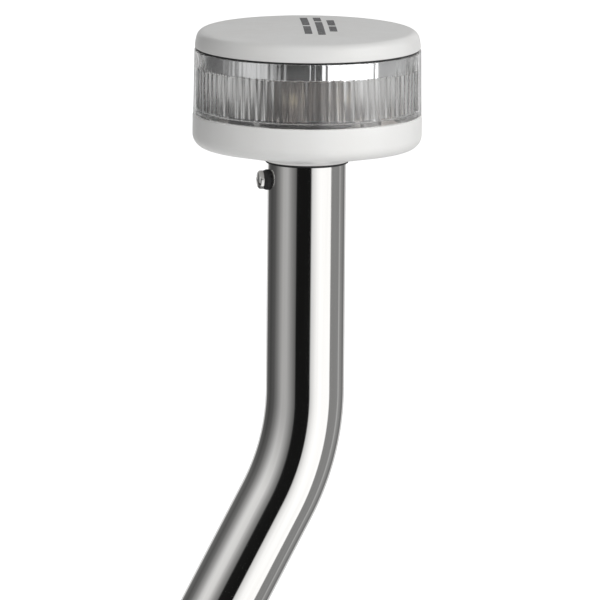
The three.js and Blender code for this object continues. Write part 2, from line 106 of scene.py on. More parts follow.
CUP_R = width("base_cup") / 2
CUP_RIM_Z = head_z("base_cup", top=True)
CUP_BORE_R = 26.9
LENS_R = width("lens") / 2
LENS_TOP_R = 28.95
LENS_TOP_Z = head_z("lens", top=True)
LENS_RIBS = 88
RIB_DEPTH = 0.15
COVER_R = width("top_cover") / 2
COVER_Z = head_z("top_cover")
COVER_TOP_Z = head_z("top_cover", top=True)
REFLECTOR_R = width("upper_reflector") / 2
REFLECTOR_Z = head_z("upper_reflector")
RIPPLE_DEPTH = 0.03
BOARD_SCREW_Y = 18
BOARD_TOP = head_z("driver_board", top=True) + GAP
POST_WIDTH = 15.6
POST_TURN = math.radians(-32)
POST_TOP_Z = head_z("led_post", top=True)
LED_Z = (head_z("led_1") + head_z("led_1", top=True)) / 2
SET_SCREW_Z = -4.35
SET_SCREW_SEAT = 11.4
SET_SCREW_TURN = math.radians(68)  # direction of its slot
COIL_AT = (-17.6, -3)
CAPACITOR_AT = (14, -11)
CHIP_AT = (-10, 15)

FLANGE_R = width("socket_flange") / 2
FLANGE_Z = 1.6
FLANGE_TOP = 5.6
NECK_R = 15.4
NECK_TOP = 22
THREAD_PITCH = 2
THREAD_DEPTH = 0.7
BARREL_R = 14.2
BARREL_BORE_R = 10.5
BARREL_FOOT = -78
BARREL_TOP = 12
SCREW_CIRCLE_R = 25
SCREW_HOLE_R = 2.3
NUT_R = width("clamp_nut") / 2
NUT_FOOT = 8.4
NUT_TOP = 29.6
NUT_FLUTES = 14


# ------------------------------------------------------------------ outlines and surfaces


def rounded(corners, steps=5):
    """A closed outline from (radius, height) points and (radius, height, fillet) corners, which get an arc.

    Each arc has a point close by on either side, so that the flats next to it keep their own shading.
    """
    outline = []
    count = len(corners)
    for i, (r, z, *fillet) in enumerate(corners):
        corner = Vector((r, z))
        if not fillet:
            outline.append((r, z))
            continue
        before = Vector(corners[i - 1][:2]) - corner
        after = Vector(corners[(i + 1) % count][:2]) - corner
        reach = 0.49 * min(before.length, after.length)
        u, v = before.normalized(), after.normalized()
        half = math.acos(max(-1.0, min(1.0, u.dot(v)))) / 2
        tangent = min(fillet[0] / math.tan(half), reach)
        centre = corner + (u + v).normalized() * tangent / math.cos(half)
        start, end = corner + u * tangent - centre, corner + v * tangent - centre
        turn = start.angle_signed(end)
        guard = min(0.04, reach - tangent)
        if guard > 1e-3:
            outline.append(tuple(corner + u * (tangent + guard)))
        for k in range(steps + 1):
            angle = -turn * k / steps
            x = start.x * math.cos(angle) - start.y * math.sin(angle)
            y = start.x * math.sin(angle) + start.y * math.cos(angle)
            outline.append((centre.x + x, centre.y + y))
        if guard > 1e-3:
            outline.append(tuple(corner + v * (tangent + guard)))
    return outline


def arc(r, z, radius, start, end, steps):
    """Points of an arc about (r, z), with its angles in degrees."""
    angles = [math.radians(start + (end - start) * k / steps) for k in range(steps + 1)]
    return [(r + radius * math.cos(a), z + radius * math.sin(a)) for a in angles]


class Shape:
    """The surfaces of one piece, drawn in millimetres."""

    def __init__(self):
        self.mesh = bmesh.new()

    def revolve(self, outline, sides=FINE, reshape=None, at=AT_ORIGIN):
        """A solid of revolution from a closed outline. reshape(r, z, angle) may give another radius."""
        rings = []
        for r, z in outline:
            if r < 1e-6:
                rings.append([self.mesh.verts.new(at @ Vector((0, 0, z)))])
                continue
            ring = []
            for k in range(sides):
                angle = 2 * math.pi * k / sides
                radius = reshape(r, z, angle) if reshape else r
                point = Vector((radius * math.cos(angle), radius * math.sin(angle), z))
                ring.append(self.mesh.verts.new(at @ point))
            rings.append(ring)
        for a, b in zip(rings, rings[1:] + rings[:1]):
            self.join_rings(a, b, sides)
        return self

    def join_rings(self, a, b, sides):
        """Faces between two rings of vertices. A ring of one vertex is a point on the axis."""
        if len(a) == 1 and len(b) == 1:
            return
        for k in range(sides):
            n = (k + 1) % sides
            corners = [a[k % len(a)], a[n % len(a)], b[n % len(b)], b[k % len(b)]]
            self.mesh.faces.new(list(dict.fromkeys(corners)))

    def box(self, size, centre, bevel=0.15, at=AT_ORIGIN):
        """A block with its edges rounded."""
        made = bmesh.ops.create_cube(self.mesh, size=1)
        spread = Matrix.Diagonal((*size, 1))
        place = at @ Matrix.Translation(centre) @ spread
        bmesh.ops.transform(self.mesh, matrix=place, verts=made["verts"])
        edges = list({e for v in made["verts"] for e in v.link_edges})
        bmesh.ops.bevel(self.mesh, geom=edges, offset=bevel, segments=3, affect="EDGES", profile=0.5)
        return self

    def prism(self, polygon, z0, z1, at=AT_ORIGIN):
        """A straight extrusion of a flat outline of (x, y) points."""
        low = [self.mesh.verts.new(at @ Vector((x, y, z0))) for x, y in polygon]
        high = [self.mesh.verts.new(at @ Vector((x, y, z1))) for x, y in polygon]
        count = len(polygon)
        for k in range(count):
            n = (k + 1) % count
            self.mesh.faces.new([low[k], low[n], high[n], high[k]])
        self.mesh.faces.new(low[::-1])
        self.mesh.faces.new(high)
        return self

    def piece(self, name, place, sharp=32):
        """The finished object, smooth except across edges sharper than the given angle in degrees."""
        bmesh.ops.remove_doubles(self.mesh, verts=self.mesh.verts, dist=1e-5)
        bmesh.ops.recalc_face_normals(self.mesh, faces=self.mesh.faces)
        bmesh.ops.scale(self.mesh, vec=(MM, MM, MM), verts=self.mesh.verts)
        data = bpy.data.meshes.new(name)
        self.mesh.to_mesh(data)
        self.mesh.free()
        smooth(data, sharp)
        made = add_object(name, data)
        made.matrix_world = place
        return made


def add_object(name, data):
    made = bpy.data.objects.new(name, data)
    bpy.context.scene.collection.objects.link(made)
    return made


def smooth(data, sharp):
    """Smooth shading, except across edges sharper than the given angle in degrees."""
    data.polygons.foreach_set("use_smooth", [True] * len(data.polygons))
    data.set_sharp_from_angle(angle=math.radians(sharp))


def cut(target, tool, sharp=32):
    """Cuts tool out of target and removes it."""
    modifier = target.modifiers.new("cut", "BOOLEAN")
    modifier.object = tool
    modifier.solver = "EXACT"
    bpy.context.view_layer.update()
    evaluated = target.evaluated_get(bpy.context.evaluated_depsgraph_get())
    data = bpy.data.meshes.new_from_object(evaluated)
    target.modifiers.clear()
    target.data = data
    smooth(data, sharp)
    bpy.data.objects.remove(tool)
    return target


def use(made, body, replaced, material):
    """Gives a finished piece its body and its material, and hides any CAD nodes that it stands for."""
    made.data.materials.clear()
    made.data.materials.append(material)
    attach(made, body)
    if replaced:
        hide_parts(*replaced)


# ------------------------------------------------------------------ materials


class Finish:
    """A Principled material with its detail made by nodes, in metres of the piece's own frame."""

    def __init__(self, name, color, roughness, metallic=0.0):
        self.material = bpy.data.materials.new(name)
        self.material.use_nodes = True
        self.tree = self.material.node_tree
        self.bsdf = self.tree.nodes["Principled BSDF"]
        self.bsdf.inputs["Base Color"].default_value = (*color, 1)
        self.bsdf.inputs["Roughness"].default_value = roughness
        self.bsdf.inputs["Metallic"].default_value = metallic
        self.color = color
        self.bumped = None

    def set(self, **values):
        """Sets values on the shader's own sockets."""
        for name, value in values.items():
            self.bsdf.inputs[name.replace("_", " ")].default_value = value
        return self

    def add(self, kind, **settings):
        node = self.tree.nodes.new(kind)
        for name, value in settings.items():
            setattr(node, name, value)
        return node

    def link(self, source, target):
        self.tree.links.new(source, target)

    def place(self, stretch=(1, 1, 1), attribute=None):
        """Coordinates in the piece's own frame, or in a named attribute, stretched along each axis."""
        if attribute:
            source = self.add("ShaderNodeAttribute", attribute_name=attribute).outputs["Vector"]
        else:
            source = self.add("ShaderNodeTexCoord").outputs["Object"]
        mapping = self.add("ShaderNodeMapping")
        mapping.inputs["Scale"].default_value = stretch
        self.link(source, mapping.inputs["Vector"])
        return mapping.outputs["Vector"]

    def noise(self, scale, detail=3.0, stretch=(1, 1, 1), attribute=None):
        """A noise pattern. scale is in features per metre."""
        node = self.add("ShaderNodeTexNoise")
        node.inputs["Scale"].default_value = scale
        node.inputs["Detail"].default_value = detail
        self.link(self.place(stretch, attribute), node.inputs["Vector"])
        return node.outputs["Fac"]

    def around(self, scale, detail=2.0):
        """Noise that only changes with the distance from the Z axis and the height, as turning marks do."""
        split = self.add("ShaderNodeSeparateXYZ")
        self.link(self.place(), split.inputs["Vector"])
        flat = self.add("ShaderNodeCombineXYZ")
        self.link(split.outputs["X"], flat.inputs["X"])
        self.link(split.outputs["Y"], flat.inputs["Y"])
        radius = self.add("ShaderNodeVectorMath", operation="LENGTH")
        self.link(flat.outputs["Vector"], radius.inputs[0])
        rings = self.add("ShaderNodeCombineXYZ")
        self.link(radius.outputs["Value"], rings.inputs["X"])
        self.link(split.outputs["Z"], rings.inputs["Y"])
        node = self.add("ShaderNodeTexNoise")
        node.inputs["Scale"].default_value = scale
        node.inputs["Detail"].default_value = detail
        self.link(rings.outputs["Vector"], node.inputs["Vector"])
        return node.outputs["Fac"]

    def spread(self, factor, low, high, start=0.3, end=0.7):
        """Stretches the factor's range from start to end over low to high."""
        node = self.add("ShaderNodeMapRange")
        node.inputs["From Min"].default_value = start
        node.inputs["From Max"].default_value = end
        node.inputs["To Min"].default_value = low
        node.inputs["To Max"].default_value = high
        self.link(factor, node.inputs["Value"])
        return node.outputs["Result"]

    def tint(self, factor, other, start=0.35, end=0.65):
        """Mixes the colour towards another where the factor is high."""
        mix = self.add("ShaderNodeMix", data_type="RGBA")
        mix.inputs[6].default_value = (*self.color, 1)
        mix.inputs[7].default_value = (*other, 1)
        self.link(self.spread(factor, 0, 1, start, end), mix.inputs[0])
        self.link(mix.outputs[2], self.bsdf.inputs["Base Color"])
        return self

    def roughen(self, factor, low, high):
        """Makes the roughness follow the factor."""
        self.link(self.spread(factor, low, high), self.bsdf.inputs["Roughness"])
        return self

    def bump(self, factor, height):
        """Adds relief of the given height in metres to any that is there already."""
        node = self.add("ShaderNodeBump")
        node.inputs["Distance"].default_value = height
        self.link(factor, node.inputs["Height"])
        if self.bumped:
            self.link(self.bumped, node.inputs["Normal"])
        self.bumped = node.outputs["Normal"]
        self.link(self.bumped, self.bsdf.inputs["Normal"])
        return self


def white_plastic(name, level):
    """Glossy moulded ABS: a faint warm mottle, an uneven satin gloss and the slightest orange peel."""
    made = Finish(name, (level, level, 0.988 * level), 0.38)
    made.tint(made.noise(90, 4), (0.97 * level, 0.965 * level, 0.948 * level))
    made.roughen(made.noise(260, 5), 0.33, 0.45)
    made.bump(made.noise(1400, 2), 0.00001)
    made.bump(made.noise(120, 1), 0.00004)
    return made.set(IOR=1.5).material


def white_nylon():
    """Satin moulded nylon with a fine spark-eroded grain."""
    made = Finish("white_nylon", (0.74, 0.74, 0.72), 0.5)
    made.tint(made.noise(140, 4), (0.69, 0.69, 0.665))
    made.roughen(made.noise(500, 4), 0.44, 0.6)
    made.bump(made.noise(3200, 2), 0.00003)
    return made.material


def clear_lens(name, roughness):
    """Clear acrylic with a trace of haze."""
    made = Finish(name, (0.985, 0.985, 0.98), roughness)
    made.set(IOR=1.49, Transmission_Weight=0.97)
    made.bump(made.noise(160, 2), 0.00001)
    return made.material


def polished_tube():
    """Mirror-polished stainless with fine drawing marks along the tube and a light haze."""
    made = Finish("polished_stainless", (0.63, 0.625, 0.615), 0.07, 1.0)
    along = (1.0, 1.0, 0.02)
    made.tint(made.noise(700, 4, along, "route"), (0.59, 0.583, 0.57))
    made.roughen(made.noise(1500, 5, along, "route"), 0.045, 0.11)
    made.bump(made.noise(2600, 3, along, "route"), 0.0000012)
    made.bump(made.noise(60, 2, attribute="route"), 0.000004)
    return made.material


def turned_steel():
    """Polished stainless with faint turning rings."""
    made = Finish("turned_stainless", (0.63, 0.625, 0.615), 0.12, 1.0)
    made.tint(made.noise(300, 3), (0.57, 0.565, 0.555))
    made.roughen(made.around(2200, 4), 0.08, 0.2)
    made.bump(made.around(4200), 0.000002)
    return made.material


def mirror():
    """Vacuum metallised plastic."""
    made = Finish("mirror_band", (0.96, 0.965, 0.98), 0.03, 0.97)
    made.roughen(made.noise(200, 3), 0.02, 0.06)
    made.bump(made.noise(110, 1), 0.000015)
    return made.material


def rubber():
    """Black rubber, matt, with a fine grain and a dusty bloom."""
    made = Finish("black_rubber", (0.011, 0.011, 0.012), 0.62)
    made.tint(made.noise(420, 4), (0.022, 0.022, 0.023))
    made.roughen(made.noise(900, 4), 0.5, 0.75)
    made.bump(made.noise(2600, 2), 0.00003)
    return made.material


def silicone():
    """Pale translucent silicone rubber."""
    made = Finish("pale_silicone", (0.72, 0.74, 0.74), 0.42)
    made.tint(made.noise(500, 3), (0.66, 0.68, 0.68))
    made.roughen(made.noise(900, 3), 0.35, 0.5)
    made.bump(made.noise(1800, 2), 0.00002)
    return made.material


def black_plastic():
    """Glass-filled black nylon."""
    made = Finish("black_plastic", (0.022, 0.022, 0.024), 0.45)
    made.tint(made.noise(600, 5), (0.04, 0.04, 0.042))
    made.roughen(made.noise(700, 4), 0.38, 0.58)
    made.bump(made.noise(2400, 3), 0.00003)
    return made.material


def brass():
    """Turned brass with rings and a slight tarnish."""
    made = Finish("turned_brass", (0.62, 0.44, 0.17), 0.25, 1.0)
    made.tint(made.noise(500, 4), (0.50, 0.33, 0.12))
    made.roughen(made.around(3000, 3), 0.18, 0.36)
    made.bump(made.around(4500), 0.000003)
    return made.material


def aluminium():
    """Drawn aluminium can."""
    made = Finish("aluminium", (0.60, 0.60, 0.61), 0.32, 1.0)
    made.tint(made.noise(500, 4), (0.52, 0.52, 0.53))
    made.roughen(made.around(2600, 3), 0.25, 0.42)
    made.bump(made.around(3800), 0.000004)
    return made.material


def dark_aluminium():
    """Extruded and anodised, with draw lines up the post."""
    made = Finish("anodised_aluminium", (0.20, 0.18, 0.17), 0.42, 0.6)
    made.tint(made.noise(900, 4, (1, 1, 0.03)), (0.15, 0.136, 0.128))
    made.roughen(made.noise(1500, 4, (1, 1, 0.03)), 0.34, 0.52)
    made.bump(made.noise(2400, 3, (1, 1, 0.03)), 0.000006)
    return made.material


def solder_mask(name, color, trace):
    """Printed board: glossy lacquer over slightly raised tracks."""
    made = Finish(name, color, 0.16)
    tracks = made.add("ShaderNodeTexVoronoi", feature="DISTANCE_TO_EDGE", distance="MANHATTAN")
    tracks.inputs["Scale"].default_value = 380
    made.link(made.place(), tracks.inputs["Vector"])
    made.tint(tracks.outputs["Distance"], trace, 0.06, 0.12)
    made.roughen(made.noise(800, 3), 0.1, 0.24)
    made.bump(tracks.outputs["Distance"], 0.00001)
    return made.material


def phosphor():
    """Yellow LED phosphor in cast silicone."""
    made = Finish("led_phosphor", (0.88, 0.74, 0.46), 0.3)
    made.tint(made.noise(3500, 3), (0.82, 0.72, 0.52))
    made.bump(made.noise(2500, 2), 0.00001)
    return made.material


def ceramic():
    """White LED ceramic."""
    made = Finish("led_ceramic", (0.80, 0.79, 0.75), 0.4)
    made.tint(made.noise(2500, 3), (0.72, 0.71, 0.68))
    made.roughen(made.noise(1800, 3), 0.34, 0.5)
    return made.material


def ink():
    """Pad-printed ink."""
    made = Finish("print_ink", (0.028, 0.028, 0.03), 0.5)
    made.tint(made.noise(1200, 4), (0.10, 0.10, 0.104))
    made.roughen(made.noise(2200, 3), 0.4, 0.65)
    return made.material


WHITE = white_plastic("white_plastic", 0.80)
COVER_WHITE = white_plastic("cover_white_plastic", 0.745)
NYLON = white_nylon()
LENS = clear_lens("clear_lens", 0.05)
RIBBED_LENS = clear_lens("ribbed_lens", 0.32)
TUBE = polished_tube()
STEEL = turned_steel()
MIRROR = mirror()
RUBBER = rubber()
SILICONE = silicone()
BLACK = black_plastic()
BRASS = brass()
ALUMINIUM = aluminium()
DARK = dark_aluminium()
BOARD = solder_mask("driver_board_mask", (0.70, 0.64, 0.61), (0.63, 0.575, 0.545))
STRIP = solder_mask("led_board_mask", (0.46, 0.41, 0.39), (0.39, 0.35, 0.33))
PHOSPHOR = phosphor()
CERAMIC = ceramic()
INK = ink()


# ------------------------------------------------------------------ camera, light and floor

VIEW_AZIMUTH = math.radians(-11)
VIEW_ELEVATION = math.radians(8.95)
VIEW_ROLL = math.radians(0.5)
VIEW_DISTANCE = 5.0
VIEW_WIDTH = 153.25 * MM
AIM_BELOW_TUBE_TOP = 35.26 * MM
AIM_LEFT = 1.76 * MM


def add_camera():
    """Camera at the photograph's angle, far enough away that its view is almost parallel."""
    a, e = VIEW_AZIMUTH, VIEW_ELEVATION
    forward = Vector((-math.sin(a) * math.cos(e), math.cos(a) * math.cos(e), -math.sin(e)))
    right = Vector((math.cos(a), math.sin(a), 0))
    roll = Matrix.Rotation(-VIEW_ROLL, 3, forward)
    right = roll @ right
    up = right.cross(forward)
    target = TUBE_TOP - up * AIM_BELOW_TUBE_TOP - right * AIM_LEFT
    data = bpy.data.cameras.new("camera")
    data.sensor_width = 36
    data.lens = data.sensor_width * VIEW_DISTANCE / VIEW_WIDTH
    data.clip_start = 0.01
    data.clip_end = 100
    camera = add_object("camera", data)
    turn = Matrix((right, up, -forward)).transposed()
    camera.matrix_world = Matrix.Translation(target - forward * VIEW_DISTANCE) @ turn.to_4x4()
    bpy.context.scene.camera = camera


# The studio's walls and panels: degrees to the right of the direction from the object to the main camera,
# brightness, and how far they lean back with height. The long white panel is the key light, and the dark
# stretches are its flags.
STUDIO = [
    (0, 0.012, 0.9),
    (13, 0.012, 0.9),
    (15, 0.95, 0.85),
    (22, 1.2, 0.85),
    (32, 1.5, 0.8),
    (45, 1.65, 0.8),
    (76, 1.65, 0.8),
    (78, 0.36, 0.8),
    (112, 0.36, 0.5),
    (116, 0.70, 0.5),
    (120, 0.44, 0),
    (140, 0.24, 0),
    (150, 0.24, 0),
    (153, 0.9, 0),
    (163, 0.9, 0),
    (166, 0.46, 0),
    (192, 0.46, 0),
    (195, 0.9, 0),
    (205, 0.9, 0),
    (208, 0.25, 0),
    (217, 0.15, 0),
    (235, 0.09, 0),
    (255, 0.13, 0),
    (272, 0.32, 0.1),
    (288, 0.63, 0.3),
    (302, 0.63, 0.5),
    (315, 0.40, 0.55),
    (329, 0.19, 0.5),
    (332, 0.012, 0.55),
    (345, 0.012, 0.95),
]
PANEL_LEVEL = 2.0  # what full white in a ramp of the table stands for
LEAN_BACK = 35 / 360  # turns for each unit of height above the horizon, where the table says 1
LIFT = 0.9  # how much brighter the walls are high up
CEILING = 0.62
BACKDROP = 1.05
FILL_ABOVE = 0.13  # light on matt surfaces, from above and from the bright table below
FILL_BELOW = 0.80
FILL_TO_KEY = 0.35  # and how much more of it comes from the key light's side
KEY_AZIMUTH = 42  # degrees to the right of the main camera
KEY_ELEVATION = 36
KEY_STRENGTH = 1.70
KEY_SIZE = 45  # degrees across
FLOOR_SIZE = 80  # metres
FLOOR_GAP = 2 * MM
FLOOR_GLOW = 0.60


def key_direction():
    """Direction from the object to the key light."""
    across = VIEW_AZIMUTH - math.pi / 2 + math.radians(KEY_AZIMUTH)
    up = math.radians(KEY_ELEVATION)
    return Vector((math.cos(across) * math.cos(up), math.sin(across) * math.cos(up), math.sin(up)))


def add_key_light():
    """Large soft light for the matt surfaces. Polished ones see the studio's walls in place of it."""
    data = bpy.data.lights.new("key", "SUN")
    data.energy = KEY_STRENGTH
    data.angle = math.radians(KEY_SIZE)
    light = add_object("key", data)
    light.rotation_euler = key_direction().to_track_quat("Z", "Y").to_euler()
    light.visible_glossy = False


def add_studio():
    """World with one pattern of walls for polished surfaces, and a plain soft fill for matt ones."""
    world = bpy.data.worlds.new("studio")
    bpy.context.scene.world = world
    world.use_nodes = True
    world.cycles.sampling_method = "NONE"
    tree = world.node_tree
    tree.nodes.clear()

    def add(kind, **settings):
        node = tree.nodes.new(kind)
        for name, value in settings.items():
            setattr(node, name, value)
        return node

    def join(socket, value):
        if isinstance(value, (int, float)):
            socket.default_value = value
        else:
            tree.links.new(value, socket)

    def combine(operation, a, b):
        node = add("ShaderNodeMath", operation=operation)
        join(node.inputs[0], a)
        join(node.inputs[1], b)
        return node.outputs[0]

    def ease(value, start, end, low=0.0, high=1.0):
        node = add("ShaderNodeMapRange", interpolation_type="SMOOTHSTEP")
        for socket, number in zip(node.inputs, (value, start, end, low, high)):
            join(socket, number)
        return node.outputs["Result"]

    def mix(factor, a, b):
        node = add("ShaderNodeMix")
        join(node.inputs["Factor"], factor)
        join(node.inputs["A"], a)
        join(node.inputs["B"], b)
        return node.outputs["Result"]

    def table(turns, column):
        """A column of the studio's table, at an azimuth in turns."""
        ramp = add("ShaderNodeValToRGB")
        stops = ramp.color_ramp.elements
        while len(stops) < len(STUDIO) + 1:
            stops.new(1)
        for stop, row in zip(stops, STUDIO + [(360, *STUDIO[0][1:])]):
            value = row[column] / PANEL_LEVEL
            stop.position = row[0] / 360
            stop.color = (value, value, value, 1)
        join(ramp.inputs["Fac"], turns)
        return combine("MULTIPLY", ramp.outputs["Color"], PANEL_LEVEL)

    direction = add("ShaderNodeSeparateXYZ")
    join(direction.inputs[0], add("ShaderNodeTexCoord").outputs["Generated"])
    x, y, z = direction.outputs
    to_camera = VIEW_AZIMUTH - math.pi / 2
    turned = combine("SUBTRACT", combine("ARCTAN2", y, x), to_camera)
    turns = combine("FRACT", combine("ADD", combine("DIVIDE", turned, 2 * math.pi), 2), 0)
    above = combine("MAXIMUM", combine("ADD", z, math.sin(VIEW_ELEVATION)), 0)
    back = combine("MULTIPLY", combine("MULTIPLY", table(turns, 2), above), LEAN_BACK)
    upright = combine("FRACT", combine("ADD", combine("SUBTRACT", turns, back), 1), 0)
    lift = ease(z, -0.1, 0.55, 1, 1 + LIFT)
    walls = combine("MULTIPLY", table(upright, 1), lift)
    polished = mix(ease(z, 0.55, 0.9), walls, CEILING)

    key = add("ShaderNodeVectorMath", operation="DOT_PRODUCT")
    join(key.inputs[0], add("ShaderNodeTexCoord").outputs["Generated"])
    key.inputs[1].default_value = key_direction()
    to_key = combine("MULTIPLY", combine("MAXIMUM", key.outputs["Value"], 0), FILL_TO_KEY)
    fill = combine("ADD", ease(z, -0.3, 0.3, FILL_BELOW, FILL_ABOVE), to_key)

    light_path = add("ShaderNodeLightPath")
    matt = combine("MINIMUM", light_path.outputs["Diffuse Depth"], 1)
    level = mix(light_path.outputs["Is Camera Ray"], mix(matt, polished, fill), BACKDROP)
    background = add("ShaderNodeBackground")
    join(background.inputs["Color"], level)
    join(add("ShaderNodeOutputWorld").inputs["Surface"], background.outputs[0])


def add_floor():
    """Pale floor under the object. It is seen, but the world and the key light alone light the object."""
    data = bpy.data.meshes.new("floor")
    reach = FLOOR_SIZE / 2
    z = cad_bounds[0][2] - FLOOR_GAP
    corners = [(-reach, -reach, z), (reach, -reach, z), (reach, reach, z), (-reach, reach, z)]
    data.from_pydata(corners, [], [(0, 1, 2, 3)])
    floor = add_object("floor", data)
    made = Finish("floor_paint", (0.88, 0.88, 0.88), 0.9)
    made.set(Emission_Color=(1, 1, 1, 1), Emission_Strength=FLOOR_GLOW)
    data.materials.append(made.material)
    floor.visible_diffuse = False
    floor.visible_glossy = False
    floor.visible_transmission = False


# ------------------------------------------------------------------ light: casing


def top_cover():
    """Cap with a drafted wall, a slope above its shoulder, and a shallow crown inside a rounded corner."""
    angle = 12
    wall = 2
    slope = math.radians(angle)
    shoulder_r, shoulder_z, slope_top_z, corner_r = COVER_R - 0.07, 30.9, 32.2, 2.4
    edge_r = shoulder_r - (slope_top_z - shoulder_z) * math.tan(slope) - corner_r * math.cos(slope)
    edge_z = slope_top_z - corner_r * math.sin(slope)

    def crown(r):
        return COVER_TOP_Z - (COVER_TOP_Z - edge_z - corner_r) * (r / edge_r) ** 2

    outline = [(COVER_R - wall, COVER_Z), (COVER_R, COVER_Z, 0.25), (shoulder_r, shoulder_z, 6)]
    outline += arc(edge_r, edge_z, corner_r, angle, 86, 14)
    outline += [(r, crown(r)) for r in (25, 22, 18, 14, 10, 6, 3, 0)]
    outline += [(r, crown(r) - wall) for r in (0, 13, 24)] + [(COVER_R - wall, COVER_Z + 1.2)]
    cover = Shape().revolve(rounded(outline)).piece("cover_shell", HEAD)
    use(cover, "pole", ["top_cover"], COVER_WHITE)
    return crown


PRINT_TURN = math.radians(-98.2)  # direction of the rows of print
# For each row: its place across the rows, where it starts, and the lengths of its bars.
PRINT_ROWS = [(-0.4, -18, (16.5, 12.4)), (2.95, -18.4, (9, 21.5)), (6.15, -12.4, (11, 8.4))]
PRINT_WIDTH = 1.9
PRINT_THICKNESS = 0.05
PRINT_GAP = 1.6  # between the bars of a row
PRINT_STEP = 2  # about the length of a block, many of which make a bar that follows the crown
PRINT_SEAM = 0.3
PRINT_TILT = 0.0034  # how much steeper the blocks lie with each millimetre from the middle, in radians


def print_bars(crown):
    """Three rows of plain bars where the small print is. They carry no lettering."""
    turn = Matrix.Rotation(PRINT_TURN, 4, "Z")
    shape = Shape()
    for across, along, lengths in PRINT_ROWS:
        for length in lengths:
            count = round(length / PRINT_STEP)
            step = length / count
            for k in range(count):
                centre = Vector((along + step * (k + 0.5), across, 0))
                centre.z = crown(centre.length) + 0.02
                tilt = Matrix.Rotation(PRINT_TILT * centre.x, 4, "Y")
                place = turn @ Matrix.Translation(centre) @ tilt
                shape.box((step - PRINT_SEAM, PRINT_WIDTH, PRINT_THICKNESS), (0, 0, 0), 0.012, place)
            along += length + PRINT_GAP
    bars = shape.piece("cover_print_bars", HEAD)
    use(bars, "pole", [], INK)


def cover_gasket():
    inner, outer = 27.0, width("cover_gasket") / 2
    z0, z1 = LENS_TOP_Z + 0.02, COVER_Z - 0.02
    outline = rounded([(inner, z0, 0.1), (outer, z0, 0.15), (outer, z1, 0.15), (inner, z1, 0.1)])
    gasket = Shape().revolve(outline).piece("cover_gasket_ring", HEAD)
    use(gasket, "pole", ["cover_gasket"], RUBBER)


def lens():
    """Clear ring, smooth outside, with round vertical ribs inside between two plain rims."""
    bore = 27.1
    foot_bore, foot_z, ledge_z = 25.5, 10.1, CUP_RIM_Z + 1.1
    rib_foot = CUP_RIM_Z + 1.9
    rib_top = REFLECTOR_Z - 0.1

    def ribs(r, z, angle):
        if r > bore + 0.05 or r < bore - 0.05 or z < rib_foot or z > rib_top:
            return r
        uneven = 0.14 * math.sin(7 * angle) + 0.12 * math.sin(17 * angle + 1) + 0.1 * math.sin(31 * angle)
        depth = RIB_DEPTH * (1 + uneven)
        return bore + 0.12 - depth * abs(math.sin(angle * LENS_RIBS / 2))

    outline = [(foot_bore, foot_z, 0.2), (CUP_BORE_R - GAP, foot_z, 0.2), (CUP_BORE_R - GAP, CUP_RIM_Z + GAP)]
    outline += [(LENS_R, CUP_RIM_Z + GAP, 0.2), (LENS_TOP_R, LENS_TOP_Z, 0.2), (bore, LENS_TOP_Z, 0.1)]
    outline += [(bore, rib_top + 0.02), (bore, rib_top), (bore, rib_foot), (bore, rib_foot - 0.02)]
    outline += [(bore, ledge_z, 0.3), (foot_bore, ledge_z, 0.2)]
    made = Shape().revolve(rounded(outline), LENS_RIBS * 8, ribs).piece("lens_ring", HEAD, 50)
    made.visible_shadow = False  # the key light reaches what is inside
    use(made, "pole", ["lens"], LENS)
    made.data.materials.append(RIBBED_LENS)
    for face in made.data.polygons:
        across = math.hypot(face.center.x, face.center.y) / MM
        face.material_index = int(across < bore + 0.2 and rib_foot < face.center.z / MM < rib_top)


def reflector():
    """Metallised skirt, slightly rippled like any thin moulding, with a flange towards the middle."""
    waves = ((23, 0.3, 1), (61, 1.1, 0.6), (97, 2.7, 0.5), (143, 0.4, 0.35))

    def ripples(r, z, angle):
        if r < REFLECTOR_R - 0.01:
            return r
        return r + RIPPLE_DEPTH * sum(size * math.sin(count * angle + phase) for count, phase, size in waves)

    top = head_z("upper_reflector", top=True)
    inner, flange_r = REFLECTOR_R - 0.8, 10.6
    outline = rounded(
        [
            (REFLECTOR_R, REFLECTOR_Z, 0.25),
            (REFLECTOR_R, top, 0.2),
            (inner, top, 0.2),
            (inner, REFLECTOR_Z + 1.5, 0.3),
            (flange_r, REFLECTOR_Z + 2.5, 0.3),
            (flange_r, REFLECTOR_Z + 1.7, 0.3),
            (inner, REFLECTOR_Z + 0.7, 0.3),
            (inner, REFLECTOR_Z, 0.25),
        ]
    )
    made = Shape().revolve(outline, FINE * 6, ripples).piece("mirror_skirt", HEAD)
    use(made, "pole", ["upper_reflector"], MIRROR)


